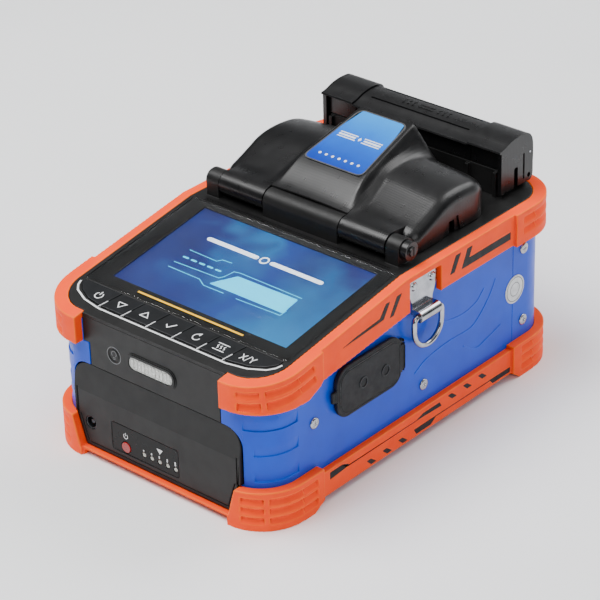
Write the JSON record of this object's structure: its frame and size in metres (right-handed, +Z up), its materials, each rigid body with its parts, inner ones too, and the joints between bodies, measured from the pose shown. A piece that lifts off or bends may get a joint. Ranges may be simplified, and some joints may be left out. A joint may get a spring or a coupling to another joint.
{
  "type": "fiber fusion splicer",
  "caption": "Portable fiber fusion splicer with tilted screen, keys, hinged wind cover, tube heater, slide-out battery, test ports under a rubber cover and strap rings.",
  "frame": {"origin": "middle of the footprint, on the surface it stands on", "axes": "+Z up, -Y out of the front with the battery and the screen's low edge, +X towards the side with the test ports"},
  "size_m": [0.1504, 0.2248, 0.1276],
  "materials": {
    "blue_paint": "satin",
    "orange_rubber": "matte",
    "black_plastic": "satin",
    "gloss_black": "satin",
    "dark_plastic": "matte",
    "black_rubber": "matte",
    "key_plastic": "satin",
    "screen_glass": "polished",
    "lamp_glass": "frosted",
    "display": "gloss",
    "blue_label": "gloss",
    "label_plate": "gloss",
    "lamp_lens": "gloss",
    "red_plastic": "gloss",
    "bright_metal": "polished",
    "aluminium": "satin",
    "dark_metal": "anodised",
    "ceramic": "satin",
    "circuit_board": "satin",
    "cell_wrap": "gloss",
    "silver_foil": "gloss"
  },
  "bodies": {
    "case": {"side_shell": "blue_paint", "rear_shell": "blue_paint", "bottom_plate": "black_plastic", "lower_bumper": "orange_rubber", "upper_bumper": "orange_rubber", "bumper_inlays": "black_rubber", "front_panel": "black_plastic", "lamp_lens": "lamp_glass", "lamp_board": "circuit_board", "top_cover": "black_plastic", "screen_glass": "screen_glass", "lcd_panel": "display", "keypad_board": "circuit_board", "hinge_pin": "bright_metal", "hinge_caps": "gloss_black", "heater_base": "black_plastic", "heater_plate": "aluminium", "heater_pin": "bright_metal", "splice_block": "aluminium", "v_grooves": "ceramic", "electrodes": "bright_metal", "electrode_covers": "aluminium", "microscopes": "dark_metal", "push_motors": "bright_metal", "main_board": "circuit_board", "arc_transformer": "dark_plastic", "battery_bay": "dark_plastic", "port_frame": "black_plastic", "fc_adapters": "bright_metal", "port_screws": "bright_metal", "strap_brackets": "bright_metal", "side_screws": "bright_metal", "seal_sticker": "silver_foil"},
    "wind_cover": {"wind_cover": "gloss_black", "wind_cover_label": "blue_label", "cover_clamps": "bright_metal"},
    "heater_lid": {"heater_lid": "black_plastic"},
    "heater_clamp_left": {"heater_clamp_left": "gloss_black"},
    "heater_clamp_right": {"heater_clamp_right": "gloss_black"},
    "battery": {"battery_case": "black_plastic", "battery_front": "black_plastic", "battery_cells": "cell_wrap", "battery_label": "label_plate", "battery_leds": "lamp_lens", "dc_jack": "dark_metal"},
    "battery_button": {"battery_button": "red_plastic"},
    "port_cover": {"port_cover": "black_rubber"},
    "d_ring_left": {"d_ring_left": "bright_metal"},
    "d_ring_right": {"d_ring_right": "bright_metal"},
    "holder_left": {"fiber_holder_left": "dark_metal"},
    "holder_right": {"fiber_holder_right": "dark_metal"},
    "holder_lid_left": {"holder_lid_left": "aluminium"},
    "holder_lid_right": {"holder_lid_right": "aluminium"},
    "key_power": {"key_power": "key_plastic"},
    "key_down": {"key_down": "key_plastic"},
    "key_up": {"key_up": "key_plastic"},
    "key_confirm": {"key_confirm": "key_plastic"},
    "key_reset": {"key_reset": "key_plastic"},
    "key_heat": {"key_heat": "key_plastic"},
    "key_view": {"key_view": "key_plastic"}
  },
  "joints": [
    {"name": "wind_cover_hinge", "type": "hinge", "parent": "case", "child": "wind_cover", "pos_m": [0, 0.0019, 0.0992], "axis": [1, 0, 0], "range_deg": [0, 100]},
    {"name": "heater_lid_hinge", "type": "hinge", "parent": "case", "child": "heater_lid", "pos_m": [0, 0.1025, 0.0972], "axis": [-1, 0, 0], "range_deg": [0, 88]},
    {"name": "heater_clamp_left_hinge", "type": "hinge", "parent": "case", "child": "heater_clamp_left", "pos_m": [-0.046, 0.1025, 0.0972], "axis": [-1, 0, 0], "range_deg": [0, 88]},
    {"name": "heater_clamp_right_hinge", "type": "hinge", "parent": "case", "child": "heater_clamp_right", "pos_m": [0.046, 0.1025, 0.0972], "axis": [-1, 0, 0], "range_deg": [0, 88]},
    {"name": "battery_slide", "type": "slide", "parent": "case", "child": "battery", "axis": [0, -1, 0], "range_m": [0, 0.084]},
    {"name": "battery_button_press", "type": "slide", "parent": "battery", "child": "battery_button", "axis": [0, 1, 0], "range_m": [0, 0.0008], "stiffness_N_per_m": 300, "springref_m": -0.0008},
    {"name": "port_cover_hinge", "type": "hinge", "parent": "case", "child": "port_cover", "pos_m": [0.0698, -0.0126, 0.0523], "axis": [0, 0, 1], "range_deg": [0, 120]},
    {"name": "d_ring_left_swing", "type": "hinge", "parent": "case", "child": "d_ring_left", "pos_m": [-0.0722, 0.0035, 0.0695], "axis": [0, 1, 0], "range_deg": [-5, 110]},
    {"name": "d_ring_right_swing", "type": "hinge", "parent": "case", "child": "d_ring_right", "pos_m": [0.0722, 0.0035, 0.0695], "axis": [0, -1, 0], "range_deg": [-5, 110]},
    {"name": "holder_left_push", "type": "slide", "parent": "case", "child": "holder_left", "axis": [1, 0, 0], "range_m": [0, 0.003]},
    {"name": "holder_right_push", "type": "slide", "parent": "case", "child": "holder_right", "axis": [-1, 0, 0], "range_m": [0, 0.003]},
    {"name": "holder_lid_left_hinge", "type": "hinge", "parent": "holder_left", "child": "holder_lid_left", "pos_m": [-0.03, 0.0456, 0.098], "axis": [-1, 0, 0], "range_deg": [0, 85]},
    {"name": "holder_lid_right_hinge", "type": "hinge", "parent": "holder_right", "child": "holder_lid_right", "pos_m": [0.03, 0.0456, 0.098], "axis": [-1, 0, 0], "range_deg": [0, 85]},
    {"name": "key_power_press", "type": "slide", "parent": "case", "child": "key_power", "axis": [0, 0.153, -0.9882], "range_m": [0, 0.0004], "stiffness_N_per_m": 400, "springref_m": -0.0005},
    {"name": "key_down_press", "type": "slide", "parent": "case", "child": "key_down", "axis": [0, 0.153, -0.9882], "range_m": [0, 0.0004], "stiffness_N_per_m": 400, "springref_m": -0.0005},
    {"name": "key_up_press", "type": "slide", "parent": "case", "child": "key_up", "axis": [0, 0.153, -0.9882], "range_m": [0, 0.0004], "stiffness_N_per_m": 400, "springref_m": -0.0005},
    {"name": "key_confirm_press", "type": "slide", "parent": "case", "child": "key_confirm", "axis": [0, 0.153, -0.9882], "range_m": [0, 0.0004], "stiffness_N_per_m": 400, "springref_m": -0.0005},
    {"name": "key_reset_press", "type": "slide", "parent": "case", "child": "key_reset", "axis": [0, 0.153, -0.9882], "range_m": [0, 0.0004], "stiffness_N_per_m": 400, "springref_m": -0.0005},
    {"name": "key_heat_press", "type": "slide", "parent": "case", "child": "key_heat", "axis": [0, 0.153, -0.9882], "range_m": [0, 0.0004], "stiffness_N_per_m": 400, "springref_m": -0.0005},
    {"name": "key_view_press", "type": "slide", "parent": "case", "child": "key_view", "axis": [0, 0.153, -0.9882], "range_m": [0, 0.0004], "stiffness_N_per_m": 400, "springref_m": -0.0005}
  ]
}
